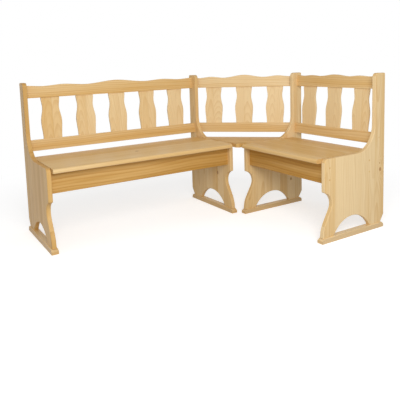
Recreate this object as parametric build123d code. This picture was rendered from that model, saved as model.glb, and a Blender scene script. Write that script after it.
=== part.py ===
# Corner bench in solid pine: a long wing, a short wing and a diagonal corner unit between them.
# Each wing stands on two shaped gables and has a slatted back and a storage box under a hinged seat.
# Millimetres, +Z up. The walls of the room meet at the back corner; the origin is on the floor,
# under the middle of the bench. +X runs along the long wing, the short wing runs towards -Y.
import os
from math import cos, pi, radians, sin, sqrt, tan

from build123d import *

# Overall sizes
long_side = 1700.0        # outer length along the wall behind the long wing
short_side = 1210.0       # outer length along the wall behind the short wing
bench_height = 880.0      # top of the posts
seat_height = 450.0       # top of the seats
corner_leg = 525.0        # from the room corner to the near face of each corner gable

# Gables: side boards with a post, a seat part and two feet
gable_thickness = 24.0
gable_depth = 475.0       # wall to front edge
post_depth = 80.0         # wall to the front of the post
post_top_round = 22.0
post_back_round = 8.0
seat_curve_radius = 145.0  # hollow between post and seat part
gable_seat_round = 25.0   # front corner of the seat part
gable_corner_round = 8.0
gable_edge_round = 3.0
skirting_cut_depth = 28.0  # back foot is cut away to clear a skirting board
skirting_cut_height = 72.0
waist_setback = 55.0      # how far the front leg is drawn in
waist_height = 205.0
waist_radius = 67.0
flare_angle = 30.0
flare_radius = 160.0
arch_centre = 262.0       # wall to the middle of the arch between the feet
arch_half_width = 142.0
arch_rise = 84.0

# Foot runners
runner_height = 28.0
runner_width = 38.0
runner_back_setback = 10.0
runner_front_reach = 497.0  # wall to the front end
runner_nose_drop = 12.0
runner_nose_length = 20.0
runner_edge_round = 4.0

# Back rails and slats
rail_thickness = 20.0
rail_front = 38.0         # wall to the top rails' front faces at their lower edges
back_lean = 4.0           # degrees by which the backs lean towards the wall
rail_edge_round = 3.0
lower_rail_bottom = 480.0
lower_rail_height = 65.0
top_rail_drop = 90.0      # from the tops of the posts to the lower edges of the top rails
wave_end_height = 73.0    # heights of the top rail's wave above its lower edge
wave_outer_dip_height = 67.5
wave_side_hump_height = 75.0
wave_inner_dip_height = 67.0
wave_centre_hump_height = 84.0
wave_outer_dip_at = 0.09  # places of the wave along the rail
wave_side_hump_at = 0.20
wave_inner_dip_at = 0.32
short_wave_share = 0.6    # the short wing's wave against the others
slat_thickness = 12.0
slat_recess = 6.0         # slats behind the front faces of the rails
slat_end_width = 110.0
slat_belly_width = 98.0   # narrowest, where the gap bellies out
slat_waist_width = 123.0  # widest, where the gap is drawn in
slat_belly_at = 0.76      # heights along the slat
slat_waist_at = 0.42
slat_edge_round = 2.0
tenon_length = 12.0
tenon_thickness = 8.0
tenon_shoulder = 14.0
tenon_clearance = 0.2
long_slat_count = 5
corner_slat_count = 3
short_slat_count = 3
long_slat_end_gap = 84.5  # from the posts to the nearest slats
corner_slat_end_gap = 77.5
short_slat_end_gap = 56.0

# Seats and storage boxes
seat_thickness = 24.0
seat_overhang = 34.0      # nose in front of the gables
seat_back_setback = 80.0  # wall to the back edge of the seats
seat_nose_top_round = 12.0
seat_nose_bottom_round = 7.0
seat_side_gap = 2.0
seat_rest_gap = 0.3
apron_setback = 26.0      # apron behind the front edge of the gables
box_back_setback = 115.0  # wall to the back faces of the boxes
box_board_thickness = 22.0
box_depth = 140.0         # from the top of the seats to the lower edges of the box boards
apron_edge_round = 3.0
box_bottom_thickness = 6.0
box_bottom_gap = 0.5
bottom_cleat_size = 20.0
lid_batten_width = 60.0
lid_batten_thickness = 18.0
lid_batten_setback = 35.0  # from the box boards to the ends of the battens
lid_batten_edge_inset = 150.0
lid_batten_round = 4.0
long_lid_batten_count = 3
short_lid_batten_count = 2
corner_seat_gap = 45.0    # from the diagonal rails forward to the corner seat's back edge
seat_cleat_size = 30.0
seat_cleat_back_setback = 150.0
seat_cleat_front_setback = 75.0

# Butt hinges behind the boxes, under the back edges of the lids
hinge_width = 60.0
hinge_leaf_height = 24.0
hinge_leaf_thickness = 2.0
hinge_knuckle_radius = 4.0
hinge_pin_radius = 2.0
hinge_pin_clearance = 0.05
hinge_running_gap = 0.3
hinge_edge_inset = 130.0
long_hinge_count = 3
short_hinge_count = 2
hinge_screw_radius = 1.5
hinge_screw_length = 14.0
hinge_screw_head_radius = 2.9
hinge_screw_head_height = 1.4
hinge_screw_spread = 40.0

# Screws, plugs and dowels
screw_radius = 3.0
screw_length = 50.0
screw_head_radius = 4.6
screw_head_height = 4.0
screw_seat_depth = 10.0   # counterbore for the head and its plug
screw_clearance = 0.1
plug_radius = 5.0
top_rail_screw_lift = 33.0  # screws above the lower edges of the rails
lower_rail_screw_lift = 40.0
board_screw_spread = 64.0
small_screw_radius = 2.0
small_screw_length = 40.0
small_screw_head_radius = 3.8
small_screw_head_height = 2.5
dowel_radius = 4.0
dowel_length = 28.0
dowel_drop = 22.0         # dowels below the level of the rail screws
dowel_wall = 2.5          # wood left in front of the dowels at the mitred ends
dowel_clearance = 0.1
gable_dowel_depth = 14.0
runner_screw_length = 55.0
runner_screw_recess = 2.0  # heads above the floor
cleat_screw_spread = 160.0

# Sizes that follow from the ones above
long_length = long_side - corner_leg
short_length = short_side - corner_leg
seat_bottom = seat_height - seat_thickness
seat_front = gable_depth + seat_overhang
rail_back = rail_front - rail_thickness
top_rail_bottom = bench_height - top_rail_drop
slat_bottom = lower_rail_bottom + lower_rail_height
slat_height = top_rail_bottom - slat_bottom
slat_back = rail_front - slat_recess - slat_thickness
box_board_bottom = seat_height - box_depth
box_board_top = seat_bottom - seat_rest_gap
box_board_height = box_board_top - box_board_bottom
apron_front = gable_depth - apron_setback
apron_back = apron_front - box_board_thickness
box_back_front = box_back_setback + box_board_thickness
bottom_board_base = box_board_bottom + bottom_cleat_size
hinge_axis_setback = box_back_setback - hinge_knuckle_radius - hinge_running_gap
hinge_axis_height = seat_bottom - hinge_knuckle_radius - hinge_running_gap
top_rail_screw_height = top_rail_bottom + top_rail_screw_lift
lower_rail_screw_height = lower_rail_bottom + lower_rail_screw_lift
plug_length = screw_seat_depth - screw_head_height
dowel_line = rail_front - dowel_wall - dowel_radius
runner_overhang = (runner_width - gable_thickness) / 2
diagonal_length = (corner_leg - rail_front) * sqrt(2)
LOW = (Align.MIN, Align.MIN, Align.MIN)
BASE = (Align.CENTER, Align.CENTER, Align.MIN)

# Places of the units: wing frames have x along the wing, the wall at y = 0 and the front towards -y
middle = Pos((runner_overhang - long_side) / 2, (short_side + runner_overhang) / 2, 0)
long_place = middle
short_place = middle * Pos(long_side, -corner_leg, 0) * Rot(0, 0, -90)
diagonal_place = middle * Pos(long_side - corner_leg, -rail_front, 0) * Rot(0, 0, -45)
lean_axis = Pos(0, -rail_front, top_rail_bottom)
lean_turn = lean_axis * Rot(-back_lean, 0, 0) * lean_axis.inverse()

nodes = {}


def add(name, place, *solids):
    """Keeps the solids of one node, moved to their place in the bench."""
    nodes.setdefault(name, []).extend(place * solid for solid in solids)


def block(x0, x1, y0, y1, z0, z1):
    """Plain board between two corners."""
    return Pos(x0, y0, z0) * Box(x1 - x0, y1 - y0, z1 - z0, align=LOW)


def rod(start, direction, radius, length):
    """Cylinder from a start point along a direction."""
    return Plane(origin=start, z_dir=direction) * Cylinder(radius, length, align=BASE)


def eased(board, axis, radius):
    """Board with its long edges rounded."""
    return fillet(board.edges().filter_by(axis), radius)


def upright(profile, x_far, thickness):
    """Extrudes a profile drawn as (distance from the wall, height) into a board across the wing."""
    plane = Plane(origin=(x_far, 0, 0), x_dir=(0, -1, 0), z_dir=(-1, 0, 0))
    return plane * extrude(profile, thickness)


def screw(start, direction, radius, length, head_radius, head_height):
    """Screw with its head's outer face at the start point."""
    head = rod(start, direction, head_radius, head_height)
    return head + rod(start, direction, radius, length)


def spread_evenly(count, span):
    """Places of a number of copies, centred on zero and filling a span."""
    return [span * (k / (count - 1) - 0.5) for k in range(count)]


def gable_profile():
    """Side view of a gable: post, hollow, seat part, drawn-in front leg and arched feet."""
    base = runner_height
    curve_top = seat_height + seat_curve_radius
    waist_x = gable_depth - waist_setback + waist_radius
    notch_rise = sqrt(waist_radius**2 - (waist_x - gable_depth) ** 2)
    notch = (gable_depth, waist_height + notch_rise)
    low_turn = radians(180 + flare_angle)
    waist_mid = (waist_x - waist_radius, waist_height)
    waist_end = (waist_x + waist_radius * cos(low_turn), waist_height + waist_radius * sin(low_turn))
    flare_top = base + flare_radius * sin(radians(flare_angle))
    flare_x = waist_end[0] + (waist_end[1] - flare_top) * tan(radians(flare_angle))
    foot_front = flare_x + flare_radius * (1 - cos(radians(flare_angle)))
    half_turn = radians(flare_angle / 2)
    flare_mid = (
        foot_front - flare_radius * (1 - cos(half_turn)),
        base + flare_radius * sin(half_turn),
    )
    hollow_mid = (
        post_depth + seat_curve_radius * (1 - cos(pi / 4)),
        curve_top - seat_curve_radius * sin(pi / 4),
    )
    arch_front = (arch_centre + arch_half_width, base)
    arch_back = (arch_centre - arch_half_width, base)
    outline = Polyline(
        arch_back,
        (skirting_cut_depth, base),
        (0, skirting_cut_height),
        (0, bench_height),
        (post_depth, bench_height),
        (post_depth, curve_top),
    )
    hollow_end = (post_depth + seat_curve_radius, seat_height)
    outline += ThreePointArc((post_depth, curve_top), hollow_mid, hollow_end)
    outline += Polyline(hollow_end, (gable_depth, seat_height), notch)
    outline += ThreePointArc(notch, waist_mid, waist_end)
    outline += Line(waist_end, (flare_x, flare_top))
    outline += ThreePointArc((flare_x, flare_top), flare_mid, (foot_front, base))
    outline += Line((foot_front, base), arch_front)
    outline += ThreePointArc(arch_front, (arch_centre, base + arch_rise), arch_back)
    face = make_face(outline)
    rounds = {
        (0, bench_height): post_back_round,
        (post_depth, bench_height): post_top_round,
        (gable_depth, seat_height): gable_seat_round,
        notch: gable_corner_round,
    }
    for corner, radius in rounds.items():
        vertex = face.vertices().sort_by_distance((corner[0], corner[1], 0))[0]
        face = fillet(vertex, radius)
    return face


def make_gable(x_near):
    """Gable with softened edges, apart from the feet that stand on the runner."""
    gable = upright(gable_profile(), x_near + gable_thickness, gable_thickness)
    rims = []
    for face in (gable.faces().sort_by(Axis.X)[0], gable.faces().sort_by(Axis.X)[-1]):
        rims += [edge for edge in face.edges() if edge.center().Z > runner_height + gable_edge_round]
    return fillet(rims, gable_edge_round)


def make_runner(x_middle):
    """Foot runner with a sloped nose at each end."""
    profile = make_face(
        Polyline(
            (runner_back_setback, 0),
            (runner_front_reach, 0),
            (runner_front_reach, runner_height - runner_nose_drop),
            (runner_front_reach - runner_nose_length, runner_height),
            (runner_back_setback + runner_nose_drop, runner_height),
            (runner_back_setback, runner_height - runner_nose_drop),
            close=True,
        )
    )
    runner = upright(profile, x_middle + runner_width / 2, runner_width)
    tops = [edge for edge in runner.edges().filter_by(Axis.Y) if edge.center().Z > runner_height / 2]
    return fillet(tops, runner_edge_round)


def top_rail_board(length, wave_share):
    """Top rail with a wavy upper edge: a large hump in the middle and a small one at each side."""
    half_wave = [
        (0.0, wave_end_height),
        (wave_outer_dip_at, wave_outer_dip_height),
        (wave_side_hump_at, wave_side_hump_height),
        (wave_inner_dip_at, wave_inner_dip_height),
    ]
    wave = half_wave + [(0.5, wave_centre_hump_height)] + [(1 - at, rise) for at, rise in reversed(half_wave)]
    level = top_rail_bottom + wave_end_height
    points = [(at * length, level + wave_share * (rise - wave_end_height)) for at, rise in wave]
    crest = Spline(*points, tangents=[(1, 0)] * len(points))
    outline = crest + Polyline(points[-1], (length, top_rail_bottom), (0, top_rail_bottom), points[0])
    board = Plane.XZ * extrude(make_face(outline), rail_thickness)
    board = Pos(0, -rail_back, 0) * board
    crests = [edge for edge in board.edges() if edge.center().Z > top_rail_bottom + wave_inner_dip_height / 2]
    crests = [edge for edge in crests if edge.length > length / 2]
    return fillet(crests, rail_edge_round)


def lower_rail_board(length):
    """Plain lower rail with rounded long edges."""
    board = block(0, length, -rail_front, -rail_back, lower_rail_bottom, slat_bottom)
    return eased(board, Axis.X, rail_edge_round)


def tenon(x_middle, z0, z1, clearance):
    """Stub tenon of a slat, or its mortise when a clearance is given."""
    half = slat_end_width / 2 - tenon_shoulder + clearance
    y_middle = -slat_back - slat_thickness / 2
    thick = tenon_thickness / 2 + clearance
    return block(x_middle - half, x_middle + half, y_middle - thick, y_middle + thick, z0, z1)


def make_slat(x_middle):
    """Fretted back slat with a stub tenon at each end."""
    sides = [
        (0.0, slat_end_width / 2),
        (slat_waist_at, slat_waist_width / 2),
        (slat_belly_at, slat_belly_width / 2),
        (1.0, slat_end_width / 2),
    ]
    right = [(x_middle + half, slat_bottom + at * slat_height) for at, half in sides]
    left = [(x_middle - half, slat_bottom + at * slat_height) for at, half in sides]
    right_edge = Spline(*right, tangents=[(0, 1)] * len(right))
    left_edge = Spline(*left, tangents=[(0, 1)] * len(left))
    outline = right_edge + Line(right[-1], left[-1]) + left_edge + Line(left[0], right[0])
    slat = Plane.XZ * extrude(make_face(outline), slat_thickness)
    slat = Pos(0, -slat_back, 0) * slat
    sides_long = [edge for edge in slat.edges() if edge.length > slat_height / 2]
    slat = fillet(sides_long, slat_edge_round)
    slat += tenon(x_middle, slat_bottom - tenon_length, slat_bottom, 0)
    slat += tenon(x_middle, top_rail_bottom, top_rail_bottom + tenon_length, 0)
    return slat


def slatted_back(length, slat_count, end_gap, wave_share):
    """Top rail, lower rail and slats of one back, with the rails starting at x = 0."""
    top_rail = top_rail_board(length, wave_share)
    lower_rail = lower_rail_board(length)
    slat_span = length - 2 * end_gap - slat_end_width
    places = [length / 2 + shift for shift in spread_evenly(slat_count, slat_span)]
    deep = tenon_length + tenon_clearance
    for x in places:
        lower_rail -= tenon(x, slat_bottom - deep, slat_bottom, tenon_clearance)
        top_rail -= tenon(x, top_rail_bottom, top_rail_bottom + deep, tenon_clearance)
    pieces = [top_rail, lower_rail] + [make_slat(x) for x in places]
    top_rail, lower_rail, *slats = [lean_turn * piece for piece in pieces]
    return top_rail, lower_rail, slats


def lean_lead(z):
    """How far the leaning back stands out at a height, against the lower edge of the top rail."""
    return (top_rail_bottom - z) * tan(radians(back_lean))


def gable_screw_places():
    """Distance from the wall and height of the screws through each gable."""
    rail_y = (rail_front + rail_back) / 2
    rail_heights = (lower_rail_screw_height, top_rail_screw_height)
    board_z = box_board_bottom + box_board_height / 2
    boards = [(apron_front + apron_back) / 2, (box_back_setback + box_back_front) / 2]
    places = [(rail_y + lean_lead(z), z) for z in rail_heights]
    places += [(y, board_z + side * board_screw_spread / 2) for y in boards for side in (-1, 1)]
    return places


def hinge_places(length, count):
    """Middles of the hinges along a wing."""
    span = length - 2 * (gable_thickness + hinge_edge_inset)
    return [length / 2 + shift for shift in spread_evenly(count, span)]


def make_hinge(x):
    """One butt hinge: box leaf with two knuckles, lid leaf with one knuckle, and the pin."""
    axis_y = -hinge_axis_setback
    axis_z = hinge_axis_height
    third = hinge_width / 3
    clear = hinge_knuckle_radius + 2 * hinge_running_gap
    left = x - hinge_width / 2
    right = left + hinge_width

    def knuckle(x0, x1):
        return rod((x0, axis_y, axis_z), (1, 0, 0), hinge_knuckle_radius, x1 - x0)

    def box_tab(x0, x1, drop0, drop1):
        face = -box_back_setback + hinge_leaf_thickness
        return block(x0, x1, -box_back_setback, face, axis_z - drop1, axis_z - drop0)

    def lid_tab(x0, x1, reach0, reach1):
        face = seat_bottom - hinge_leaf_thickness
        return block(x0, x1, axis_y + reach0, axis_y + reach1, face, seat_bottom)

    box_leaf = box_tab(left, right, clear, hinge_leaf_height)
    outer_ends = [
        (left, left + third - hinge_running_gap),
        (left + 2 * third + hinge_running_gap, right),
    ]
    for x0, x1 in outer_ends:
        box_leaf += box_tab(x0, x1, 0, clear) + knuckle(x0, x1)
    lid_leaf = lid_tab(left, right, clear, hinge_leaf_height)
    lid_leaf += lid_tab(left + third, left + 2 * third, 0, clear) + knuckle(left + third, left + 2 * third)
    bore = rod((left, axis_y, axis_z), (1, 0, 0), hinge_pin_radius + hinge_pin_clearance, hinge_width)
    pin = rod((left, axis_y, axis_z), (1, 0, 0), hinge_pin_radius, hinge_width)
    return box_leaf - bore, lid_leaf - bore, pin


def hinge_screw_starts(x, leaf):
    """Points on the face of a leaf, "box" or "lid", where its two screws go in."""
    middle_of_leaf = (hinge_knuckle_radius + 2 * hinge_running_gap + hinge_leaf_height) / 2
    starts = []
    for shift in (-hinge_screw_spread / 2, hinge_screw_spread / 2):
        if leaf == "box":
            y = -box_back_setback + hinge_leaf_thickness
            starts.append((x + shift, y, hinge_axis_height - middle_of_leaf))
        else:
            z = seat_bottom - hinge_leaf_thickness
            starts.append((x + shift, -hinge_axis_setback + middle_of_leaf, z))
    return starts


def make_wing(name, place, length, slat_count, slat_gap, wave_share, end_names, hinge_count, batten_count):
    """One wing: gables, runners, slatted back, storage box, lid and hinges."""
    inner = length - 2 * gable_thickness
    top_rail, lower_rail, slats = slatted_back(inner, slat_count, slat_gap, wave_share)
    along = Pos(gable_thickness, 0, 0)
    top_rail = along * top_rail
    lower_rail = along * lower_rail

    x0 = gable_thickness
    x1 = length - gable_thickness
    apron = block(x0, x1, -apron_front, -apron_back, box_board_bottom, box_board_top)
    apron = eased(apron, Axis.X, apron_edge_round)
    box_back = block(x0, x1, -box_back_front, -box_back_setback, box_board_bottom, box_board_top)
    gables = [make_gable(0), make_gable(x1)]
    outer_faces = [(0, 1), (length, -1)]

    screws = []
    plugs = []
    for gable_index, (x_face, inward) in enumerate(outer_faces):
        for y, z in gable_screw_places():
            start = (x_face + inward * plug_length, -y, z)
            face_point = (x_face, -y, z)
            screws.append(
                screw(start, (inward, 0, 0), screw_radius, screw_length, screw_head_radius, screw_head_height)
            )
            plugs.append(rod(face_point, (inward, 0, 0), plug_radius, plug_length))
            bore = rod(face_point, (inward, 0, 0), plug_radius + screw_clearance, screw_seat_depth)
            reach = plug_length + screw_length + screw_clearance
            bore += rod(face_point, (inward, 0, 0), screw_radius + screw_clearance, reach)
            gables[gable_index] -= bore
            top_rail -= bore
            lower_rail -= bore
            apron -= bore
            box_back -= bore

    bottom_gap = box_bottom_gap
    bottom = block(
        x0 + bottom_gap,
        x1 - bottom_gap,
        -apron_back + bottom_gap,
        -box_back_front - bottom_gap,
        bottom_board_base,
        bottom_board_base + box_bottom_thickness,
    )
    cleats = [
        block(x0, x1, y, y + bottom_cleat_size, box_board_bottom, bottom_board_base)
        for y in (-apron_back, -box_back_front - bottom_cleat_size)
    ]

    lid = make_lid(x0 + seat_side_gap, x1 - seat_side_gap)
    hinge_screws = {"box": [], "lid": []}
    directions = {"box": (0, -1, 0), "lid": (0, 0, 1)}
    bore_sizes = (
        hinge_screw_radius + screw_clearance,
        hinge_screw_length + screw_clearance,
        hinge_screw_head_radius + screw_clearance,
        hinge_screw_head_height,
    )
    sizes = (hinge_screw_radius, hinge_screw_length, hinge_screw_head_radius, hinge_screw_head_height)
    for x in hinge_places(length, hinge_count):
        box_leaf, lid_leaf, pin = make_hinge(x)
        for leaf, direction in directions.items():
            for start in hinge_screw_starts(x, leaf):
                hinge_screws[leaf].append(screw(start, direction, *sizes))
                bore = screw(start, direction, *bore_sizes)
                if leaf == "box":
                    box_leaf -= bore
                    box_back -= bore
                else:
                    lid_leaf -= bore
                    lid -= bore
        add(f"{name}_hinge_box_leaves", place, box_leaf)
        add(f"{name}_hinge_lid_leaves", place, lid_leaf)
        add(f"{name}_hinge_pins", place, pin)

    for gable, end_name, x_face in zip(gables, end_names, (0, x1)):
        make_foot(end_name, place, gable, x_face)
    add(f"{name}_top_rail", place, top_rail)
    add(f"{name}_lower_rail", place, lower_rail)
    for number, slat in enumerate(slats, 1):
        add(f"{name}_slat_{number}", place * along, slat)
    add(f"{name}_apron", place, apron)
    add(f"{name}_box_back", place, box_back)
    add(f"{name}_box_bottom", place, bottom)
    add(f"{name}_box_bottom_cleats", place, *cleats)
    add(f"{name}_lid", place, lid)
    add(f"{name}_lid_battens", place, *make_lid_battens(x0, x1, batten_count))
    add(f"{name}_hinge_box_screws", place, *hinge_screws["box"])
    add(f"{name}_hinge_lid_screws", place, *hinge_screws["lid"])
    add("gable_screws", place, *screws)
    add("gable_screw_plugs", place, *plugs)


def make_foot(end_name, place, gable, x_face):
    """Stands a gable on its runner and joins them with two screws from below."""
    x_middle = x_face + gable_thickness / 2
    runner = make_runner(x_middle)
    back_foot = (skirting_cut_depth + arch_centre - arch_half_width) / 2
    front_foot = (arch_centre + arch_half_width + gable_depth) / 2
    for y in (back_foot, front_foot):
        start = (x_middle, -y, runner_screw_recess)
        head_reach = runner_screw_recess + screw_head_height
        sizes = (runner_screw_length, screw_head_radius, screw_head_height)
        add("runner_screws", place, screw(start, (0, 0, 1), screw_radius, *sizes))
        bore = rod((x_middle, -y, 0), (0, 0, 1), screw_head_radius + screw_clearance, head_reach)
        bore += rod(start, (0, 0, 1), screw_radius + screw_clearance, runner_screw_length + screw_clearance)
        runner -= bore
        gable -= bore
    add(f"{end_name}_gable", place, gable)
    add(f"{end_name}_runner", place, runner)


def seat_section():
    """Cross-section of a seat board, drawn as (distance from the wall, height), with a rounded nose."""
    face = make_face(
        Polyline(
            (seat_back_setback, seat_bottom),
            (seat_back_setback, seat_height),
            (seat_front, seat_height),
            (seat_front, seat_bottom),
            close=True,
        )
    )
    for height, radius in ((seat_height, seat_nose_top_round), (seat_bottom, seat_nose_bottom_round)):
        vertex = face.vertices().sort_by_distance((seat_front, height, 0))[0]
        face = fillet(vertex, radius)
    return face


def make_lid(x0, x1):
    """Hinged seat board with a rounded nose."""
    return upright(seat_section(), x1, x1 - x0)


def make_lid_battens(x0, x1, count):
    """Cross battens that keep a lid flat."""
    battens = []
    span = x1 - x0 - 2 * lid_batten_edge_inset
    for shift in spread_evenly(count, span):
        x = (x0 + x1) / 2 + shift
        batten = block(
            x - lid_batten_width / 2,
            x + lid_batten_width / 2,
            -apron_back + lid_batten_setback,
            -box_back_front - lid_batten_setback,
            seat_bottom - lid_batten_thickness,
            seat_bottom,
        )
        low_edges = batten.edges().group_by(Axis.Z)[0]
        battens.append(fillet(low_edges, lid_batten_round))
    return battens


def make_corner():
    """Diagonal back, fixed seat and seat cleats between the two corner gables."""
    reach = 2 * rail_thickness
    end_gap = corner_slat_end_gap + reach
    top_rail, lower_rail, slats = slatted_back(diagonal_length + 2 * reach, corner_slat_count, end_gap, 1)
    diagonal = diagonal_place * Pos(-reach, rail_front, 0)
    x_face = long_side - corner_leg
    room_corner = middle * Pos(long_side, 0, 0)
    mitre = room_corner * block(-corner_leg, 0, -corner_leg, 0, 0, bench_height)
    rails = {
        "corner_top_rail": diagonal * top_rail & mitre,
        "corner_lower_rail": diagonal * lower_rail & mitre,
    }

    dowel_heights = {
        "corner_top_rail": top_rail_screw_height - dowel_drop,
        "corner_lower_rail": lower_rail_screw_height - dowel_drop,
    }
    for rail_name, z in dowel_heights.items():
        line = dowel_line + lean_lead(z) * sqrt(2)
        ends = {
            "long_corner_gable": ((x_face - gable_dowel_depth, -line, z), (1, 0, 0)),
            "short_corner_gable": ((long_side - line, -corner_leg - gable_dowel_depth, z), (0, 1, 0)),
        }
        for gable_name, (start, direction) in ends.items():
            dowel = rod(start, direction, dowel_radius, dowel_length)
            bore = rod(start, direction, dowel_radius + dowel_clearance, dowel_length + dowel_clearance)
            add("corner_dowels", middle, dowel)
            rails[rail_name] -= middle * bore
            nodes[gable_name][0] -= middle * bore
    for rail_name, rail in rails.items():
        add(rail_name, Pos(), rail)
    for number, slat in enumerate(slats, 1):
        add(f"corner_slat_{number}", diagonal, slat)
    make_corner_seat(room_corner)


def make_corner_seat(room_corner):
    """Fixed corner seat on two cleats, drawn from the room corner."""
    far = corner_leg - seat_side_gap
    back = corner_leg + rail_front + corner_seat_gap * sqrt(2) - far
    outline = Polyline(
        (-far, -back),
        (-far, -seat_front),
        (-seat_front, -far),
        (-back, -far),
        close=True,
    )
    seat = Pos(0, 0, seat_bottom) * extrude(make_face(outline), seat_thickness)
    slanted = seat.edges().filter_by(Axis((0, 0, 0), (1, -1, 0)))
    nose = slanted.sort_by(lambda edge: edge.center().X + edge.center().Y)[:2]
    seat = fillet(nose.sort_by(Axis.Z)[-1], seat_nose_bottom_round)

    cleat_back = -seat_cleat_back_setback
    cleat_front = -gable_depth + seat_cleat_front_setback
    low = seat_bottom - seat_cleat_size
    cleats = [
        block(-corner_leg, -corner_leg + seat_cleat_size, cleat_front, cleat_back, low, seat_bottom),
        block(cleat_front, cleat_back, -corner_leg, -corner_leg + seat_cleat_size, low, seat_bottom),
    ]
    middle_y = (cleat_back + cleat_front) / 2
    centre = -corner_leg + seat_cleat_size / 2
    face = -corner_leg + seat_cleat_size
    sizes = (small_screw_radius, small_screw_length, small_screw_head_radius, small_screw_head_height)
    bore_sizes = (
        small_screw_radius + screw_clearance,
        small_screw_length + screw_clearance,
        small_screw_head_radius + screw_clearance,
        small_screw_head_height,
    )
    for along in (-cleat_screw_spread / 2, cleat_screw_spread / 2):
        up = middle_y + along
        side = middle_y + along / 2
        fixings = [
            (0, (centre, up, low), (0, 0, 1)),
            (0, (face, side, low + seat_cleat_size / 2), (-1, 0, 0)),
            (1, (up, centre, low), (0, 0, 1)),
            (1, (side, face, low + seat_cleat_size / 2), (0, -1, 0)),
        ]
        for cleat_index, start, direction in fixings:
            add("corner_seat_screws", room_corner, screw(start, direction, *sizes))
            bore = screw(start, direction, *bore_sizes)
            cleats[cleat_index] -= bore
            seat -= bore
            for gable_name in ("long_corner_gable", "short_corner_gable"):
                nodes[gable_name][0] -= room_corner * bore
    add("corner_seat", room_corner, seat)
    add("corner_seat_cleats", room_corner, *cleats)


make_wing(
    "long",
    long_place,
    long_length,
    long_slat_count,
    long_slat_end_gap,
    1,
    ("long_end", "long_corner"),
    long_hinge_count,
    long_lid_batten_count,
)
make_wing(
    "short",
    short_place,
    short_length,
    short_slat_count,
    short_slat_end_gap,
    short_wave_share,
    ("short_corner", "short_end"),
    short_hinge_count,
    short_lid_batten_count,
)
make_corner()

os.makedirs("parts", exist_ok=True)
for name, solids in nodes.items():
    shape = solids[0] if len(solids) == 1 else Compound(solids)
    export_step(shape, f"parts/{name}.step")
    print(name, len(solids))
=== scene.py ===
"""Finishes and stage for a solid pine corner bench.

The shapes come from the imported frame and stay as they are. This add-on gives each board its own cut of
pine, with staves, growth rings, knots and lacquer, finishes the hinges and screws, and sets up a plain
pale stage with a camera.
"""

import math
import random

import bpy
from bpy.props import FloatProperty, FloatVectorProperty, PointerProperty
from bpy.types import Operator, Panel, PropertyGroup
from mathutils import Matrix, Vector


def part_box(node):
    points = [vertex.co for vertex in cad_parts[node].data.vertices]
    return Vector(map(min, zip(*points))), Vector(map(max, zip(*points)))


bl_info = {
    "name": "Corner Bench Finishes",
    "version": (1, 0, 0),
    "blender": (4, 5, 0),
    "location": "View3D > Sidebar > Bench",
    "description": "Pine, plywood and zinc finishes and a plain stage for a corner bench",
    "category": "Material",
}

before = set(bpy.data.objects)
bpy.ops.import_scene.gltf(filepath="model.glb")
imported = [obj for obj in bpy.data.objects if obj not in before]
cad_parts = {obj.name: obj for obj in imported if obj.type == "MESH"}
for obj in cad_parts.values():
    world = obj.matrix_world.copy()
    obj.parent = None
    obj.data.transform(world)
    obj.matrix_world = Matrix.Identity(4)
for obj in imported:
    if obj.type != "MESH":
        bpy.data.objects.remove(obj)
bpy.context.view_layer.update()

ALONG_X = Vector((1, 0, 0))
ALONG_Y = Vector((0, 1, 0))
UP = Vector((0, 0, 1))
DIAGONAL = Vector((1, -1, 0)).normalized()
INTO_CORNER = Vector((1, 1, 0)).normalized()

# Widths of the glued staves, or of the boards that the narrow pieces are sawn from.
SEAT_STAVE = 0.088
SLAT_STAVE = 0.068
PLUG_STAVE = 0.031
RUNNER_BOARD = 0.2
BACK_BOARD = 0.3
BATTEN_BOARD = 0.4
STRIP_BOARD = 0.5

# Cuts of the wide flat-sawn boards.
RAIL_CUT = {"stave_width": 0.3, "spacing": 0.010, "figure": 0.6}
APRON_CUT = {"stave_width": 0.3, "spacing": 0.012, "figure": 0.75}

# Lie of the pith under a stave and the wander of the rings round it, in metres.
PITH_SIDE_SPREAD = 0.09
PITH_DEPTH_SPREAD = 0.055
LEAST_PITH_DEPTH = 0.022
SIDE_DRIFT = 0.03
DEPTH_DRIFT = 0.05
RING_WOBBLE = 0.0035
KNOT_PUSH = 0.011

# Growth of the ring radius per metre along the grain, from the least to the most.
TAPER_SPREAD = 0.03

# Shares by which one mask changes the colour of the wood.
STAVE_WARMTH = 0.6
END_GRAIN_SHADE = 0.45
WEAR_PALING = 0.30
HEART_SHADE = 0.72
SEAM_SHADE = 0.22

LACQUER_COAT_ROUGHNESS = 0.30
LACQUER_SPECULAR = 0.22
FLOOR_HALF_SIDE = 30.0
SENSOR_WIDTH = 36.0


# Settings


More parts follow.
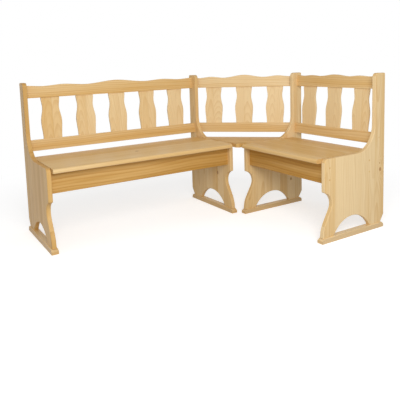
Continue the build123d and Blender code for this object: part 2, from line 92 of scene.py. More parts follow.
class PineSettings(PropertyGroup):
    """Colours and cut of the lacquered pine."""

    pale: FloatVectorProperty(
        name="Pale Wood",
        description="Colour of the lightest early wood",
        subtype="COLOR",
        default=(0.82, 0.62, 0.345),
        min=0,
        max=1,
    )
    honey: FloatVectorProperty(
        name="Honey Wood",
        description="Colour of the warmer boards",
        subtype="COLOR",
        default=(0.69, 0.435, 0.155),
        min=0,
        max=1,
    )
    # Boards toned above 1 blend towards this colour; on the aprons and the long end gable that blend is
    # painted shade, elsewhere it is board colour.
    deep: FloatVectorProperty(
        name="Deep Honey Wood",
        description="Colour of the most orange boards",
        subtype="COLOR",
        default=(0.49, 0.255, 0.05),
        min=0,
        max=1,
    )
    late: FloatVectorProperty(
        name="Late Wood",
        description="Tint that the dense part of a growth ring gives to the wood",
        subtype="COLOR",
        default=(0.74, 0.58, 0.38),
        min=0,
        max=1,
    )
    knot: FloatVectorProperty(
        name="Knot",
        description="Colour of the heart of a knot",
        subtype="COLOR",
        default=(0.28, 0.115, 0.035),
        min=0,
        max=1,
    )
    ring_spacing: FloatProperty(
        name="Ring Spacing",
        description="Distance between growth rings",
        subtype="DISTANCE",
        unit="LENGTH",
        default=0.0052,
        min=0.001,
    )
    stave_width: FloatProperty(
        name="Stave Width",
        description="Width of the staves that wide boards are glued from",
        subtype="DISTANCE",
        unit="LENGTH",
        default=0.066,
        min=0.02,
    )
    lacquer_roughness: FloatProperty(
        name="Lacquer Roughness",
        description="Roughness of the clear satin lacquer",
        subtype="FACTOR",
        default=0.46,
        min=0,
        max=1,
    )
    lacquer_weight: FloatProperty(
        name="Lacquer Weight",
        description="Strength of the lacquer's own gloss",
        subtype="FACTOR",
        default=0.08,
        min=0,
        max=1,
    )
    grain_depth: FloatProperty(
        name="Grain Depth",
        description="Depth of the grain under the lacquer",
        subtype="DISTANCE",
        unit="LENGTH",
        default=0.0003,
        min=0,
    )
    edge_width: FloatProperty(
        name="Edge Wear Width",
        description="Width of the rubbed band along the edges",
        subtype="DISTANCE",
        unit="LENGTH",
        default=0.004,
        min=0.0005,
    )


class HardwareSettings(PropertyGroup):
    """Finish of the hinges and screws."""

    zinc: FloatVectorProperty(
        name="Zinc",
        description="Colour of the bright zinc on the hinges and screws",
        subtype="COLOR",
        default=(0.60, 0.61, 0.60),
        min=0,
        max=1,
    )
    tarnish: FloatVectorProperty(
        name="Tarnish",
        description="Colour of the duller spots in the zinc",
        subtype="COLOR",
        default=(0.40, 0.39, 0.36),
        min=0,
        max=1,
    )


class StageSettings(PropertyGroup):
    """Floor, light and camera."""

    floor: FloatVectorProperty(
        name="Floor",
        description="Colour of the floor",
        subtype="COLOR",
        default=(0.74, 0.74, 0.74),
        min=0,
        max=1,
    )
    floor_glow: FloatProperty(
        name="Floor Glow",
        description="White that the camera adds to the floor so that it joins the backdrop",
        default=0.54,
        min=0,
    )
    floor_near: FloatProperty(
        name="Floor Near",
        description="Distance from the bench's middle up to which the floor takes its shadow",
        subtype="DISTANCE",
        unit="LENGTH",
        default=1.1,
        min=0,
    )
    floor_far: FloatProperty(
        name="Floor Far",
        description="Distance from the bench's middle at which the floor has joined the backdrop",
        subtype="DISTANCE",
        unit="LENGTH",
        default=2.3,
        min=0,
    )
    sky: FloatProperty(
        name="Sky",
        description="Level of the even light from all round",
        default=0.46,
        min=0,
    )
    key_power: FloatProperty(
        name="Key Power",
        description="Power of the large soft light in front of the bench",
        unit="POWER",
        default=60.0,
        min=0,
    )
    key_size: FloatProperty(
        name="Key Size",
        description="Side of the large soft light",
        subtype="DISTANCE",
        unit="LENGTH",
        default=1.6,
        min=0.1,
    )
    key_place: FloatVectorProperty(
        name="Key Place",
        description="Where the large soft light hangs",
        subtype="TRANSLATION",
        unit="LENGTH",
        default=(-1.15, -2.4, 1.75),
    )
    key_aim: FloatVectorProperty(
        name="Key Aim",
        description="Point that the large soft light is turned to",
        subtype="TRANSLATION",
        unit="LENGTH",
        default=(0.15, 0.1, 0.5),
    )
    camera_place: FloatVectorProperty(
        name="Camera Place",
        description="Where the camera stands",
        subtype="TRANSLATION",
        unit="LENGTH",
        default=(-1.4836, -2.3692, 0.9694),
    )
    camera_heading: FloatProperty(
        name="Camera Heading",
        description="Direction of view, turned from +X towards +Y",
        unit="ROTATION",
        default=math.radians(57.87),
    )
    camera_tilt: FloatProperty(
        name="Camera Tilt",
        description="Upward tilt of the view",
        unit="ROTATION",
        default=math.radians(-6.738),
    )
    camera_roll: FloatProperty(
        name="Camera Roll",
        description="Turn of the camera about its view",
        unit="ROTATION",
        default=math.radians(-1.755),
    )
    camera_lens: FloatProperty(
        name="Focal Length",
        description="Focal length on a sensor 36 mm wide",
        unit="CAMERA",
        default=44.167,
        min=10,
    )
    camera_shift: FloatProperty(
        name="Vertical Shift",
        description="Upward shift of the lens, as a share of the picture",
        default=-0.2,
    )


# Node helpers


def put(tree, kind, values=(), **settings):
    """Adds a node; values go to its inputs by order or by name, as links or as plain values."""
    node = tree.nodes.new(kind)
    for key, value in settings.items():
        setattr(node, key, value)
    pairs = values.items() if isinstance(values, dict) else enumerate(values)
    for key, value in pairs:
        if isinstance(value, bpy.types.NodeSocket):
            tree.links.new(value, node.inputs[key])
        else:
            node.inputs[key].default_value = value
    return node


def calc(tree, operation, *values):
    """Result of a Math node."""
    return put(tree, "ShaderNodeMath", values, operation=operation).outputs[0]


def vector_calc(tree, operation, *values):
    """Vector result of a Vector Math node."""
    return put(tree, "ShaderNodeVectorMath", values, operation=operation).outputs[0]


def dot(tree, a, b):
    """Dot product of two vectors."""
    return put(tree, "ShaderNodeVectorMath", (a, b), operation="DOT_PRODUCT").outputs["Value"]


def ramp(tree, value, low, high, to_low=0.0, to_high=1.0):
    """Smooth step of a value between two limits."""
    node = put(tree, "ShaderNodeMapRange", (value, low, high, to_low, to_high))
    node.interpolation_type = "SMOOTHSTEP"
    return node.outputs[0]


def blend(tree, factor, first, second, how="MIX"):
    """Mix of two colours."""
    node = put(tree, "ShaderNodeMix", data_type="RGBA", blend_type=how, clamp_factor=True)
    for index, value in ((0, factor), (6, first), (7, second)):
        if isinstance(value, bpy.types.NodeSocket):
            tree.links.new(value, node.inputs[index])
        else:
            node.inputs[index].default_value = value
    return node.outputs[2]


def noise(tree, place, scale, detail=2.0, roughness=0.5):
    """Noise value at a place."""
    values = {"Vector": place, "Scale": scale, "Detail": detail, "Roughness": roughness}
    return put(tree, "ShaderNodeTexNoise", values).outputs[0]


def stretched(tree, place, sizes):
    """Place scaled by a different amount each way."""
    return vector_calc(tree, "MULTIPLY", place, sizes)


def rgba(colour):
    """Colour with full alpha."""
    return (*colour, 1.0)


def group(name, inputs, outputs):
    """New shader group with named sockets; returns its tree, its inputs and its output node."""
    tree = bpy.data.node_groups.new(name, "ShaderNodeTree")
    for socket, kind, default in inputs:
        made = tree.interface.new_socket(name=socket, in_out="INPUT", socket_type=f"NodeSocket{kind}")
        made.default_value = default
    for socket, kind in outputs:
        tree.interface.new_socket(name=socket, in_out="OUTPUT", socket_type=f"NodeSocket{kind}")
    return tree, tree.nodes.new("NodeGroupInput").outputs, tree.nodes.new("NodeGroupOutput")


def finish_group(tree, output, results):
    """Joins the results of a group to its output sockets."""
    for name, socket in results.items():
        tree.links.new(socket, output.inputs[name])


def use(tree, shared, values):
    """Places a shared group in a tree and returns its outputs."""
    node = tree.nodes.new("ShaderNodeGroup")
    node.node_tree = shared
    for name, value in values.items():
        if isinstance(value, bpy.types.NodeSocket):
            tree.links.new(value, node.inputs[name])
        else:
            node.inputs[name].default_value = value
    return node.outputs


def shared_group(name, build):
    """A shader group that is built the first time it is asked for."""
    return bpy.data.node_groups.get(name) or build(name)


# Shared effects


def build_board_axes(name):
    """Place within a board: along the grain, across the width and through the thickness."""
    tree, given, output = group(
        name,
        [
            ("Along", "Vector", (1, 0, 0)),
            ("Across", "Vector", (0, 1, 0)),
            ("Through", "Vector", (0, 0, 1)),
            ("Start", "Vector", (0, 0, 0)),
        ],
        [("Place", "Vector"), ("End Grain", "Float")],
    )
    here = put(tree, "ShaderNodeTexCoord")
    from_start = vector_calc(tree, "SUBTRACT", here.outputs["Object"], given["Start"])
    parts = [dot(tree, from_start, given[axis]) for axis in ("Along", "Across", "Through")]
    facing = calc(tree, "ABSOLUTE", dot(tree, here.outputs["Normal"], given["Along"]))
    finish_group(
        tree,
        output,
        {
            "Place": put(tree, "ShaderNodeCombineXYZ", parts).outputs[0],
            "End Grain": ramp(tree, facing, 0.55, 0.95),
        },
    )
    return tree


def build_pine_figure(name):
    """Growth rings of staves, each sawn from its own part of a log."""
    tree, given, output = group(
        name,
        [
            ("Place", "Vector", (0, 0, 0)),
            ("Stave Width", "Float", 0.07),
            ("Ring Spacing", "Float", 0.005),
            ("Seed", "Float", 0.0),
            ("Swirl", "Float", 0.0),
        ],
        [("Ring", "Float"), ("Fibre", "Float"), ("Streak", "Float"), ("Stave", "Float"), ("Seam", "Float")],
    )
    parts = put(tree, "ShaderNodeSeparateXYZ", (given["Place"],)).outputs
    along, across, through = parts["X"], parts["Y"], parts["Z"]
    steps = calc(tree, "DIVIDE", across, given["Stave Width"])
    index = calc(tree, "FLOOR", steps)
    in_stave = calc(tree, "SUBTRACT", calc(tree, "FRACT", steps), 0.5)
    local = calc(tree, "MULTIPLY", in_stave, given["Stave Width"])
    key = calc(tree, "ADD", calc(tree, "MULTIPLY", index, 1.37), calc(tree, "MULTIPLY", given["Seed"], 11.7))
    chance = put(tree, "ShaderNodeTexWhiteNoise", {"W": key}, noise_dimensions="1D")
    picks = put(tree, "ShaderNodeSeparateColor", (chance.outputs["Color"],)).outputs

    pith_side = calc(tree, "MULTIPLY", calc(tree, "SUBTRACT", picks[0], 0.5), PITH_SIDE_SPREAD)
    pith_depth = calc(tree, "MULTIPLY_ADD", picks[1], PITH_DEPTH_SPREAD, LEAST_PITH_DEPTH)
    slow_along = calc(tree, "MULTIPLY", along, 1.5)
    wander_place = put(tree, "ShaderNodeCombineXYZ", (slow_along, key, 0.0)).outputs[0]
    wander = put(tree, "ShaderNodeTexNoise", {"Vector": wander_place, "Scale": 1.0, "Detail": 1.5})
    drift = put(tree, "ShaderNodeSeparateColor", (wander.outputs["Color"],)).outputs
    from_pith = calc(tree, "SUBTRACT", local, pith_side)
    side = calc(tree, "ADD", from_pith, calc(tree, "MULTIPLY", drift[0], SIDE_DRIFT))
    over_pith = calc(tree, "ADD", through, pith_depth)
    depth = calc(tree, "ADD", over_pith, calc(tree, "MULTIPLY", drift[1], DEPTH_DRIFT))
    square = calc(tree, "ADD", calc(tree, "MULTIPLY", side, side), calc(tree, "MULTIPLY", depth, depth))
    radius = calc(tree, "SQRT", square)
    growth = calc(tree, "MULTIPLY_ADD", picks[2], TAPER_SPREAD, -TAPER_SPREAD / 2)
    taper = calc(tree, "MULTIPLY", along, growth)
    wobble = noise(tree, stretched(tree, given["Place"], (4.0, 34.0, 34.0)), 1.0, 2.0)
    radius = calc(tree, "ADD", radius, taper)
    radius = calc(tree, "ADD", radius, calc(tree, "MULTIPLY", wobble, RING_WOBBLE))
    radius = calc(tree, "ADD", radius, calc(tree, "MULTIPLY", given["Swirl"], KNOT_PUSH))
    phase = calc(tree, "DIVIDE", radius, given["Ring Spacing"])
    turn = calc(tree, "FRACT", phase)
    year = put(tree, "ShaderNodeTexWhiteNoise", {"W": calc(tree, "FLOOR", phase)}, noise_dimensions="1D")
    vigour = calc(tree, "MULTIPLY_ADD", year.outputs["Value"], 0.65, 0.35)
    rise = ramp(tree, turn, 0.30, 0.92)
    fall = ramp(tree, turn, 0.93, 1.0, 1.0, 0.0)
    ring = calc(tree, "MULTIPLY", calc(tree, "MULTIPLY", rise, fall), vigour)

    fibre = noise(tree, stretched(tree, given["Place"], (14.0, 620.0, 620.0)), 1.0, 3.0, 0.6)
    along_key = put(tree, "ShaderNodeCombineXYZ", (key, 0.0, 0.0)).outputs[0]
    offset = vector_calc(tree, "ADD", given["Place"], along_key)
    streak = noise(tree, stretched(tree, offset, (1.3, 24.0, 24.0)), 1.0, 2.5, 0.55)
    rim = calc(tree, "MULTIPLY", calc(tree, "ABSOLUTE", in_stave), given["Stave Width"])
    gap = calc(tree, "SUBTRACT", calc(tree, "MULTIPLY", given["Stave Width"], 0.5), rim)
    seam = ramp(tree, gap, 0.0002, 0.0009, 1.0, 0.0)
    finish_group(
        tree,
        output,
        {"Ring": ring, "Fibre": fibre, "Streak": streak, "Stave": chance.outputs["Value"], "Seam": seam},
    )
    return tree


def build_knot(name):
    """One knot through a board: its heart, its dark rim and the grain that swirls round it."""
    tree, given, output = group(
        name,
        [("Place", "Vector", (0, 0, 0)), ("Centre", "Vector", (0, 0, 0)), ("Radius", "Float", 0.008)],
        [("Heart", "Float"), ("Rim", "Float"), ("Swirl", "Float")],
    )
    away = vector_calc(tree, "SUBTRACT", given["Place"], given["Centre"])
    rough = noise(tree, given["Place"], 140.0, 2.0)
    flat = stretched(tree, away, (0.72, 1.0, 0.12))
    distance = put(tree, "ShaderNodeVectorMath", (flat,), operation="LENGTH").outputs["Value"]
    ratio = calc(tree, "DIVIDE", distance, given["Radius"])
    ragged = calc(tree, "ADD", ratio, calc(tree, "MULTIPLY_ADD", rough, 0.5, -0.25))
    heart = ramp(tree, ragged, 0.75, 1.05, 1.0, 0.0)
    rim = calc(tree, "MULTIPLY", ramp(tree, ragged, 0.7, 1.0), ramp(tree, ragged, 1.0, 1.35, 1.0, 0.0))
    wide = stretched(tree, away, (0.30, 1.0, 0.1))
    reach = put(tree, "ShaderNodeVectorMath", (wide,), operation="LENGTH").outputs["Value"]
    falloff = calc(tree, "DIVIDE", reach, calc(tree, "MULTIPLY", given["Radius"], 2.2))
    swirl = calc(tree, "POWER", 2.718, calc(tree, "MULTIPLY", calc(tree, "MULTIPLY", falloff, falloff), -1.0))
    finish_group(tree, output, {"Heart": heart, "Rim": rim, "Swirl": swirl})
    return tree


def build_edge_wear(name):
    """Mask of the rubbed edges, broken up along their length."""
    tree, given, output = group(name, [("Width", "Float", 0.004)], [("Wear", "Float")])
    here = put(tree, "ShaderNodeTexCoord").outputs["Object"]
    softened = put(tree, "ShaderNodeBevel", {"Radius": given["Width"]}, samples=4).outputs["Normal"]
    true = put(tree, "ShaderNodeNewGeometry").outputs["Normal"]
    turned = calc(tree, "SUBTRACT", 1.0, dot(tree, softened, true))
    patchy = noise(tree, here, 38.0, 3.0, 0.6)
    wear = calc(tree, "MULTIPLY", ramp(tree, turned, 0.015, 0.22), ramp(tree, patchy, 0.32, 0.68))
    finish_group(tree, output, {"Wear": wear})
    return tree


def build_pine_colour(name):
    """Colour, roughness and height of lacquered pine from its figure."""
    tree, given, output = group(
        name,
        [
            ("Pale", "Color", (0.8, 0.6, 0.4, 1)),
            ("Honey", "Color", (0.7, 0.4, 0.2, 1)),
            ("Deep", "Color", (0.5, 0.25, 0.05, 1)),
            ("Late", "Color", (0.5, 0.3, 0.1, 1)),
            ("Knot", "Color", (0.2, 0.1, 0.05, 1)),
            ("Tone", "Float", 0.3),
            ("Figure", "Float", 0.5),
            ("Gloss", "Float", 0.32),
            ("Ring", "Float", 0.0),
            ("Fibre", "Float", 0.5),
            ("Streak", "Float", 0.5),
            ("Stave", "Float", 0.5),
            ("Seam", "Float", 0.0),
            ("Heart", "Float", 0.0),
            ("Rim", "Float", 0.0),
            ("End Grain", "Float", 0.0),
            ("Wear", "Float", 0.0),
        ],
        [("Color", "Color"), ("Roughness", "Float"), ("Height", "Float")],
    )
    stave_tone = calc(tree, "MULTIPLY_ADD", given["Stave"], STAVE_WARMTH, -STAVE_WARMTH / 2)
    warmth = calc(tree, "ADD", given["Tone"], stave_tone)
    spread = calc(tree, "MULTIPLY_ADD", given["Figure"], 2.6, 0.3)
    streaky = calc(tree, "MULTIPLY", calc(tree, "SUBTRACT", given["Streak"], 0.5), spread)
    warmth = calc(tree, "ADD", warmth, streaky)
    ground = blend(tree, warmth, given["Pale"], given["Honey"])
    ground = blend(tree, calc(tree, "SUBTRACT", warmth, 1.0), ground, given["Deep"])
    ring_share = calc(tree, "MULTIPLY", given["Ring"], given["Figure"])
    ringed = blend(tree, ring_share, ground, given["Late"], "MULTIPLY")
    fibre_shade = calc(tree, "MULTIPLY_ADD", given["Fibre"], 0.16, 0.92)
    fibrous = vector_calc(tree, "SCALE", ringed)
    tree.links.new(fibre_shade, fibrous.node.inputs["Scale"])
    end_share = calc(tree, "MULTIPLY", given["End Grain"], END_GRAIN_SHADE)
    ended = blend(tree, end_share, fibrous, given["Late"], "MULTIPLY")
    rubbed = blend(tree, calc(tree, "MULTIPLY", given["Wear"], WEAR_PALING), ended, given["Pale"])
    rimmed = blend(tree, given["Rim"], rubbed, given["Late"], "MULTIPLY")
    knotted = blend(tree, calc(tree, "MULTIPLY", given["Heart"], HEART_SHADE), rimmed, given["Knot"])
    seamed = blend(tree, calc(tree, "MULTIPLY", given["Seam"], SEAM_SHADE), knotted, given["Knot"])
    rough = calc(tree, "ADD", given["Gloss"], calc(tree, "MULTIPLY_ADD", given["Streak"], 0.14, -0.07))
    rough = calc(tree, "SUBTRACT", rough, calc(tree, "MULTIPLY", given["Ring"], 0.05))
    rough = calc(tree, "ADD", rough, calc(tree, "MULTIPLY", given["End Grain"], 0.14))
    rough = calc(tree, "ADD", rough, calc(tree, "MULTIPLY", given["Wear"], 0.07))
    ring_height = calc(tree, "MULTIPLY", given["Ring"], 0.45)
    height = calc(tree, "ADD", ring_height, calc(tree, "MULTIPLY", given["Fibre"], 0.4))
    height = calc(tree, "SUBTRACT", height, calc(tree, "MULTIPLY", given["Seam"], 0.8))
    height = calc(tree, "ADD", height, calc(tree, "MULTIPLY", given["Rim"], 0.3))
    finish_group(tree, output, {"Color": seamed, "Roughness": rough, "Height": height})
    return tree


# Materials


def board_axes(tree, along, across, start):
    """Place of the shading point in a board, from shared axes."""
    shared = shared_group("Board axes", build_board_axes)
    values = {"Along": along, "Across": across, "Through": along.cross(across), "Start": start}
    return use(tree, shared, values)


def new_material(name):
    """Material with an empty tree and a lacquer or metal shader joined to its output."""
    material = bpy.data.materials.new(name)
    material.use_nodes = True
    tree = material.node_tree
    tree.nodes.clear()
    shader = put(tree, "ShaderNodeBsdfPrincipled")
    end = put(tree, "ShaderNodeOutputMaterial")
    tree.links.new(shader.outputs[0], end.inputs["Surface"])
    return material, tree, shader


def bumped(tree, shader, height, depth, strength):
    """Joins a height to a shader through a bump."""
    bump = put(tree, "ShaderNodeBump", {"Height": height, "Distance": depth, "Strength": strength})
    tree.links.new(bump.outputs[0], shader.inputs["Normal"])


def pine(name, along, across, start, seed, tone, stave_width, spacing, figure, knots):
    """Lacquered pine for one board: grain along one axis, staves across another, and its own knots."""
    settings = bpy.context.scene.bench_pine
    material, tree, shader = new_material(name)
    axes = board_axes(tree, along, across, start)
    heart = None
    for centre, radius in knots:
        knot = use(
            tree,
            shared_group("Knot", build_knot),
            {"Place": axes["Place"], "Centre": (*centre, 0.0), "Radius": radius},
        )
        if heart is None:
            heart, rim, swirl = knot["Heart"], knot["Rim"], knot["Swirl"]
        else:
            heart = calc(tree, "MAXIMUM", heart, knot["Heart"])
            rim = calc(tree, "MAXIMUM", rim, knot["Rim"])
            swirl = calc(tree, "ADD", swirl, knot["Swirl"])
    figure_values = {
        "Place": axes["Place"],
        "Stave Width": stave_width,
        "Ring Spacing": spacing,
        "Seed": float(seed),
    }
    if heart is not None:
        figure_values["Swirl"] = swirl
    rings = use(tree, shared_group("Pine figure", build_pine_figure), figure_values)
    wear = use(tree, shared_group("Edge wear", build_edge_wear), {"Width": settings.edge_width})["Wear"]
    values = {
        "Pale": rgba(settings.pale),
        "Honey": rgba(settings.honey),
        "Deep": rgba(settings.deep),
        "Late": rgba(settings.late),
        "Knot": rgba(settings.knot),
        "Tone": tone,
        "Figure": figure,
        "Gloss": settings.lacquer_roughness,
        "End Grain": axes["End Grain"],
        "Wear": wear,
    }
    for part in ("Ring", "Fibre", "Streak", "Stave", "Seam"):
        values[part] = rings[part]
    if heart is not None:
        values["Heart"] = heart
        values["Rim"] = rim
    look = use(tree, shared_group("Pine colour", build_pine_colour), values)
    tree.links.new(look["Color"], shader.inputs["Base Color"])
    tree.links.new(look["Roughness"], shader.inputs["Roughness"])
    shader.inputs["Coat Weight"].default_value = settings.lacquer_weight
    shader.inputs["Coat Roughness"].default_value = LACQUER_COAT_ROUGHNESS
    shader.inputs["Specular IOR Level"].default_value = LACQUER_SPECULAR
    bumped(tree, shader, look["Height"], settings.grain_depth, 0.35)
    return material


def plywood(name, along, across, start, seed):
    """Sanded birch plywood: broad faint figure on the faces and thin layers on the edges."""
    material, tree, shader = new_material(name)
    axes = board_axes(tree, along, across, start)
    offset = vector_calc(tree, "ADD", axes["Place"], (float(seed), 0.0, 0.0))
    swirl = noise(tree, stretched(tree, offset, (2.2, 13.0, 1.0)), 1.0, 3.0)
    lines = calc(tree, "FRACT", calc(tree, "MULTIPLY", swirl, 9.0))
    fine = noise(tree, stretched(tree, offset, (30.0, 700.0, 700.0)), 1.0, 2.0)
    light, figured = (0.70, 0.52, 0.30, 1), (0.56, 0.37, 0.18, 1)
    pores, glue = (0.46, 0.29, 0.13, 1), (0.36, 0.21, 0.09, 1)
    figure = calc(tree, "MULTIPLY", ramp(tree, lines, 0.2, 1.0), 0.5)
    face = blend(tree, figure, light, figured)
    face = blend(tree, calc(tree, "MULTIPLY", fine, 0.3), face, pores)
    through = put(tree, "ShaderNodeSeparateXYZ", (axes["Place"],)).outputs["Z"]
    layers_per_metre = 333.0
    layer = calc(tree, "FRACT", calc(tree, "MULTIPLY", through, layers_per_metre))
    layered = blend(tree, ramp(tree, layer, 0.45, 0.55), face, glue)
    normal = put(tree, "ShaderNodeTexCoord").outputs["Normal"]
    level = calc(tree, "ABSOLUTE", put(tree, "ShaderNodeSeparateXYZ", (normal,)).outputs["Z"])
    colour = blend(tree, ramp(tree, level, 0.3, 0.7), layered, face)
    tree.links.new(colour, shader.inputs["Base Color"])
    tree.links.new(calc(tree, "MULTIPLY_ADD", fine, 0.15, 0.55), shader.inputs["Roughness"])
    bumped(tree, shader, fine, 0.0002, 0.3)
    return material


def zinc(name, along):
    """Bright zinc with faint drawn lines and duller spots."""
    settings = bpy.context.scene.bench_hardware
    material, tree, shader = new_material(name)
    across = UP.cross(along) if abs(along.z) < 0.5 else ALONG_X
    axes = board_axes(tree, along, across, Vector((0, 0, 0)))
    lines = noise(tree, stretched(tree, axes["Place"], (40.0, 2600.0, 2600.0)), 1.0, 2.0)
    spots = noise(tree, axes["Place"], 260.0, 3.0, 0.6)
    colour = blend(tree, ramp(tree, spots, 0.52, 0.72), rgba(settings.zinc), rgba(settings.tarnish))
    wear = use(tree, shared_group("Edge wear", build_edge_wear), {"Width": 0.0008})["Wear"]
    bare_metal = (0.78, 0.78, 0.77, 1)
    colour = blend(tree, calc(tree, "MULTIPLY", wear, 0.5), colour, bare_metal)
    tree.links.new(colour, shader.inputs["Base Color"])
    shader.inputs["Metallic"].default_value = 1.0
    drawn = calc(tree, "MULTIPLY_ADD", lines, 0.20, 0.22)
    rough = calc(tree, "ADD", drawn, calc(tree, "MULTIPLY", spots, 0.12))
    tree.links.new(rough, shader.inputs["Roughness"])
    bumped(tree, shader, lines, 0.00008, 0.3)
    return material


def dress(node, material):
    """Gives a node of the frame one material."""
    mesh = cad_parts[node].data
    mesh.materials.clear()
    mesh.materials.append(material)


def scattered_knots(seed, length, width, count):
    """Seeded places and sizes of the knots in a board."""
    chance = random.Random(seed)
    knots = []
    for _ in range(count):
        place = (length * chance.uniform(0.06, 0.94), width * chance.uniform(0.12, 0.88))
        knots.append((place, chance.uniform(0.0035, 0.0095)))
    return knots


def board(
    node,
    along,
    across,
    seed,
    tone,
    stave_width=None,
    spacing=None,
    figure=0.45,
    knots=None,
    knot_count=0,
):
    """Dresses a node as a pine board that starts at the low end of its box along both axes."""
    settings = bpy.context.scene.bench_pine
    low, high = (Vector(corner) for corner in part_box(node))
    corner = Vector((low[i] if (along + across)[i] > 0 else high[i] for i in range(3)))
    if stave_width is None:
        stave_width = settings.stave_width
    if spacing is None:
        spacing = settings.ring_spacing
    if knots is None:
        size = high - low
        length = abs(size.dot(Vector(abs(v) for v in along)))
        width = abs(size.dot(Vector(abs(v) for v in across)))
        knots = scattered_knots(seed, length, width, knot_count)
    name = f"Pine {node.replace('_', ' ')}"
    dress(node, pine(name, along, across, corner, seed, tone, stave_width, spacing, figure, knots))


# Operators


class BENCH_OT_gables(Operator):
    """Vertical staves for the four gables, starting at the wall."""

    bl_idname = "corner_bench.gables"
    bl_label = "Finish Gables"

    def execute(self, context):
        # The long end gable's tone above 1 is painted shade: it darkens the gable's outer face and front
        # edge.
        board("long_end_gable", UP, -ALONG_Y, seed=3, tone=1.15)
        board("long_corner_gable", UP, -ALONG_Y, seed=7, tone=0.38, knots=[((0.21, 0.33), 0.008)])
        board("short_corner_gable", UP, -ALONG_X, seed=12, tone=0.30, knots=[((0.14, 0.10), 0.007)])
        outer_cut = {
            "stave_width": 0.079,
            "figure": 0.4,
            "knots": [((0.309, 0.034), 0.008), ((0.345, 0.038), 0.004)],
        }
        board("short_end_gable", UP, -ALONG_X, seed=2459, tone=0.15, **outer_cut)
        return {"FINISHED"}


class BENCH_OT_runners(Operator):
    """Straight-grained foot runners."""

    bl_idname = "corner_bench.runners"
    bl_label = "Finish Runners"

    def execute(self, context):
        for node, along, across, seed, tone, knot_count in (
            ("long_end_runner", ALONG_Y, ALONG_X, 23, 0.70, 0),
            ("long_corner_runner", ALONG_Y, ALONG_X, 24, 0.35, 1),
            ("short_corner_runner", ALONG_X, ALONG_Y, 25, 0.35, 1),
            # The short end runner's pale tone is painted light: it stands in for light bounced up from the
            # floor.
            ("short_end_runner", ALONG_X, ALONG_Y, 26, -0.6, 0),
        ):
            board(node, along, across, seed, tone, stave_width=RUNNER_BOARD, knot_count=knot_count)
        return {"FINISHED"}


class BENCH_OT_rails(Operator):
    """Long boards for the top rails and the lower rails."""

    bl_idname = "corner_bench.rails"
    bl_label = "Finish Rails"

    def execute(self, context):
        board("long_top_rail", ALONG_X, UP, seed=31, tone=0.62, **RAIL_CUT)
        board("long_lower_rail", ALONG_X, UP, seed=32, tone=0.42, **RAIL_CUT)
        board("corner_top_rail", DIAGONAL, UP, seed=33, tone=0.02, **RAIL_CUT)
        board("corner_lower_rail", DIAGONAL, UP, seed=34, tone=0.30, **RAIL_CUT)
        board("short_top_rail", -ALONG_Y, UP, seed=35, tone=0.55, **RAIL_CUT)
        board("short_lower_rail", -ALONG_Y, UP, seed=36, tone=0.95, **RAIL_CUT)
        return {"FINISHED"}


class BENCH_OT_slats(Operator):
    """Fretted slats, each from its own board."""

    bl_idname = "corner_bench.slats"
    bl_label = "Finish Slats"

    def execute(self, context):
        rows = (
            ("long", ALONG_X, (0.44, 0.34, 0.24, 0.22, 0.06)),
            ("corner", DIAGONAL, (-0.12, -0.05, -0.22)),
            ("short", -ALONG_Y, (-0.22, -0.18, 0.02)),
        )
        seed = 41
        for wing, across, tones in rows:
            for number, tone in enumerate(tones, 1):
                board(f"{wing}_slat_{number}", UP, across, seed, tone, stave_width=SLAT_STAVE, figure=0.32)
                seed += 1
        return {"FINISHED"}


class BENCH_OT_seats(Operator):
    """Glued seat boards, the corner seat and the battens under the lids."""

    bl_idname = "corner_bench.seats"
    bl_label = "Finish Seats"

    def execute(self, context):
        # The lids' darker tones are painted shade: they darken the seats as a table over them would.
        board("long_lid", ALONG_X, -ALONG_Y, seed=61, tone=0.72, stave_width=SEAT_STAVE, knot_count=1)
        board("short_lid", -ALONG_Y, -ALONG_X, seed=62, tone=0.80, stave_width=SEAT_STAVE)
        board("corner_seat", DIAGONAL, -INTO_CORNER, seed=63, tone=1.05, stave_width=SEAT_STAVE)
        for node, along, across, seed, knot_count in (
            ("long_lid_battens", -ALONG_Y, ALONG_X, 64, 2),
            ("short_lid_battens", -ALONG_X, -ALONG_Y, 65, 1),
        ):
            board(node, along, across, seed, tone=0.40, stave_width=BATTEN_BOARD, knot_count=knot_count)
        return {"FINISHED"}


class BENCH_OT_boxes(Operator):
    """Aprons, back boards, bottoms and cleats of the storage boxes, and the cleats of the corner seat."""

    bl_idname = "corner_bench.boxes"
    bl_label = "Finish Storage Boxes"

    def execute(self, context):
        # The aprons' deep orange tones are partly board colour and partly painted shade: they darken the
        # aprons as the shade under the seat nose and under a table would.
        board("long_apron", ALONG_X, UP, seed=71, tone=1.55, **APRON_CUT)
        board("short_apron", -ALONG_Y, UP, seed=72, tone=1.62, **APRON_CUT)
        board("long_box_back", ALONG_X, UP, seed=73, tone=0.40, stave_width=BACK_BOARD, knot_count=3)
        board("short_box_back", -ALONG_Y, UP, seed=74, tone=0.40, stave_width=BACK_BOARD, knot_count=2)
        for node, along, seed, knot_count in (
            ("long_box_bottom_cleats", ALONG_X, 75, 1),
            ("short_box_bottom_cleats", -ALONG_Y, 76, 1),
            ("corner_seat_cleats", INTO_CORNER, 77, 0),
        ):
            board(node, along, UP, seed, tone=0.35, stave_width=STRIP_BOARD, knot_count=knot_count)
        for node, along, across, seed in (
            ("long_box_bottom", ALONG_X, ALONG_Y, 5),
            ("short_box_bottom", -ALONG_Y, ALONG_X, 6),
        ):
            low = Vector(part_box(node)[0])
            dress(node, plywood(f"Plywood {node.replace('_', ' ')}", along, across, low, seed))
        return {"FINISHED"}


class BENCH_OT_plugs(Operator):
    """Turned plugs over the screws, and the dowels of the corner unit."""

    bl_idname = "corner_bench.plugs"
    bl_label = "Finish Plugs And Dowels"

    def execute(self, context):
        board("gable_screw_plugs", UP, ALONG_X, seed=81, tone=0.75, stave_width=PLUG_STAVE)
        board("corner_dowels", DIAGONAL, UP, seed=82, tone=0.30, stave_width=STRIP_BOARD)
        return {"FINISHED"}


